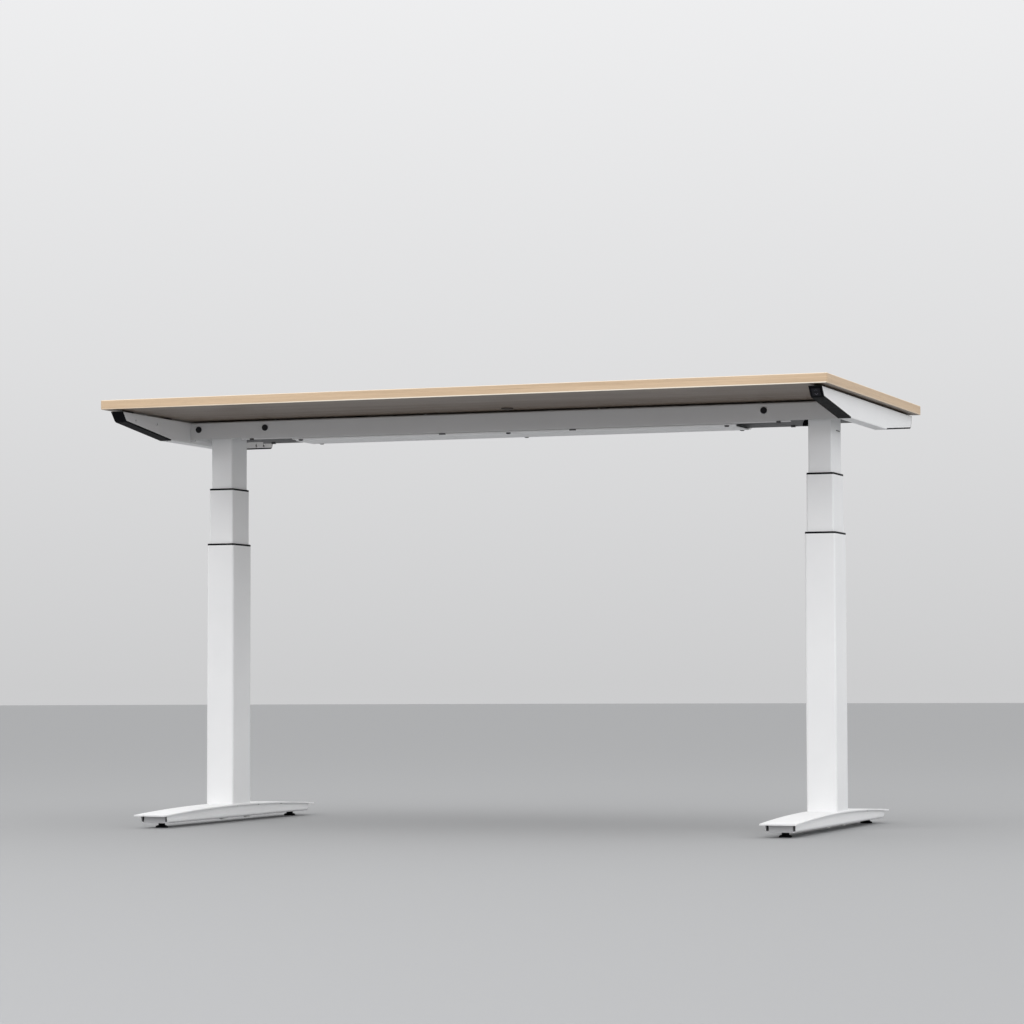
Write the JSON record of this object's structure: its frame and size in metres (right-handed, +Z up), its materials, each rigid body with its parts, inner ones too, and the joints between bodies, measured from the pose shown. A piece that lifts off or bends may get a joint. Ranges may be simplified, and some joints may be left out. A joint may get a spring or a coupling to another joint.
{
  "type": "height adjustable standing desk",
  "caption": "Sit-stand desk: oak-decor top on a white steel frame with telescopic lifting columns, cable pan, arched feet and levelling glides.",
  "frame": {"origin": "on the floor under the middle of the desk: bottom centre of the bounding box", "axes": "+X along the desk's length, to the right of a person sitting at it; -Y towards that person; +Z up"},
  "size_m": [1.6, 0.8, 0.912],
  "materials": {
    "black_plastic": "fine moulded grain",
    "black_steel": "black oxide",
    "board_green": "glass-fibre board",
    "box_plastic": "moulded grain",
    "key_plastic": "smooth",
    "lead_rubber": "smooth sheath",
    "motor_steel": "satin",
    "oak_edge": "matt light oak edge",
    "oak_top": "matt oak decor",
    "pad_rubber": "matt",
    "screw_steel": "turned",
    "slider_plastic": "smooth",
    "white_steel": "satin powder coat",
    "zinc_steel": "zinc plated"
  },
  "bodies": {
    "base": {"left_foot_cover": "white_steel", "left_foot_body": "white_steel", "left_outer_tube": "white_steel", "right_foot_cover": "white_steel", "right_foot_body": "white_steel", "right_outer_tube": "white_steel", "foot_end_plates": "white_steel", "base_plates": "white_steel", "foot_bolts": "zinc_steel", "outer_collars": "black_plastic", "screw_supports": "screw_steel", "base_nuts": "zinc_steel", "glide_inserts": "zinc_steel"},
    "desktop": {"left_inner_tube": "white_steel", "left_side_bracket": "white_steel", "left_front_cap": "black_plastic", "left_rear_cap": "black_plastic", "right_inner_tube": "white_steel", "right_side_bracket": "white_steel", "right_front_cap": "black_plastic", "right_rear_cap": "black_plastic", "inner_sliders": "slider_plastic", "head_plates": "white_steel", "gearmotors": "motor_steel", "crossbeam": "white_steel", "beam_end_plates": "white_steel", "bracket_bolts": "zinc_steel", "cable_pan": "white_steel", "pan_screws": "black_steel", "board_screws": "zinc_steel", "head_bolts": "zinc_steel", "beam_plugs": "black_plastic", "cable_grommet": "black_plastic", "edge_clips": "black_plastic", "frame_pads": "pad_rubber", "tabletop": "oak_top", "edge_band": "oak_edge", "underside_plug": "black_plastic", "control_box": "box_plastic", "power_inlet": "box_plastic", "circuit_board": "board_green", "motor_leads": "lead_rubber", "key_board": "board_green"},
    "left_stage": {"left_middle_tube": "white_steel", "left_middle_collar": "black_plastic", "left_middle_slider": "slider_plastic"},
    "left_hollow_screw": {"left_hollow_screw": "screw_steel"},
    "left_drive_screw": {"left_drive_screw": "screw_steel"},
    "right_stage": {"right_middle_tube": "white_steel", "right_middle_collar": "black_plastic", "right_middle_slider": "slider_plastic"},
    "right_hollow_screw": {"right_hollow_screw": "screw_steel"},
    "right_drive_screw": {"right_drive_screw": "screw_steel"},
    "up_key": {"up_key": "key_plastic"},
    "down_key": {"down_key": "key_plastic"},
    "left_front_glide": {"left_front_glide": "black_plastic"},
    "left_rear_glide": {"left_rear_glide": "black_plastic"},
    "right_front_glide": {"right_front_glide": "black_plastic"},
    "right_rear_glide": {"right_rear_glide": "black_plastic"}
  },
  "joints": [
    {"name": "desk_lift", "type": "slide", "parent": "base", "child": "desktop", "axis": [0, 0, 1], "range_m": [-0.262, 0.388]},
    {"name": "left_stage_lift", "type": "slide", "parent": "base", "child": "left_stage", "axis": [0, 0, 1], "range_m": [-0.131, 0.194]},
    {"name": "left_hollow_turn", "type": "hinge", "parent": "left_stage", "child": "left_hollow_screw", "pos_m": [-0.688, 0, 0.37], "axis": [0, 0, 1], "range_deg": [-4717, 6985]},
    {"name": "left_drive_turn", "type": "hinge", "parent": "desktop", "child": "left_drive_screw", "pos_m": [-0.688, 0, 0.53], "axis": [0, 0, 1], "range_deg": [-9433, 13969]},
    {"name": "right_stage_lift", "type": "slide", "parent": "base", "child": "right_stage", "axis": [0, 0, 1], "range_m": [-0.131, 0.194]},
    {"name": "right_hollow_turn", "type": "hinge", "parent": "right_stage", "child": "right_hollow_screw", "pos_m": [0.688, 0, 0.37], "axis": [0, 0, 1], "range_deg": [-4717, 6985]},
    {"name": "right_drive_turn", "type": "hinge", "parent": "desktop", "child": "right_drive_screw", "pos_m": [0.688, 0, 0.53], "axis": [0, 0, 1], "range_deg": [-9433, 13969]},
    {"name": "up_key_press", "type": "slide", "parent": "desktop", "child": "up_key", "axis": [0, 0.7322, 0.6811], "range_m": [0, 0.001], "stiffness_N_per_m": 1500, "springref_m": -0.0004},
    {"name": "down_key_press", "type": "slide", "parent": "desktop", "child": "down_key", "axis": [0, 0.7322, 0.6811], "range_m": [0, 0.001], "stiffness_N_per_m": 1500, "springref_m": -0.0004},
    {"name": "left_front_levelling", "type": "slide", "parent": "base", "child": "left_front_glide", "axis": [0, 0, 1], "range_m": [-0.01, 0]},
    {"name": "left_rear_levelling", "type": "slide", "parent": "base", "child": "left_rear_glide", "axis": [0, 0, 1], "range_m": [-0.01, 0]},
    {"name": "right_front_levelling", "type": "slide", "parent": "base", "child": "right_front_glide", "axis": [0, 0, 1], "range_m": [-0.01, 0]},
    {"name": "right_rear_levelling", "type": "slide", "parent": "base", "child": "right_rear_glide", "axis": [0, 0, 1], "range_m": [-0.01, 0]}
  ],
  "couplings": [
    {"joint": "left_stage_lift", "follows": "desk_lift", "ratio": 0.5},
    {"joint": "left_hollow_turn", "follows": "desk_lift", "rad_per_m": 314.16},
    {"joint": "left_drive_turn", "follows": "desk_lift", "rad_per_m": 628.32},
    {"joint": "right_stage_lift", "follows": "desk_lift", "ratio": 0.5},
    {"joint": "right_hollow_turn", "follows": "desk_lift", "rad_per_m": 314.16},
    {"joint": "right_drive_turn", "follows": "desk_lift", "rad_per_m": 628.32}
  ]
}
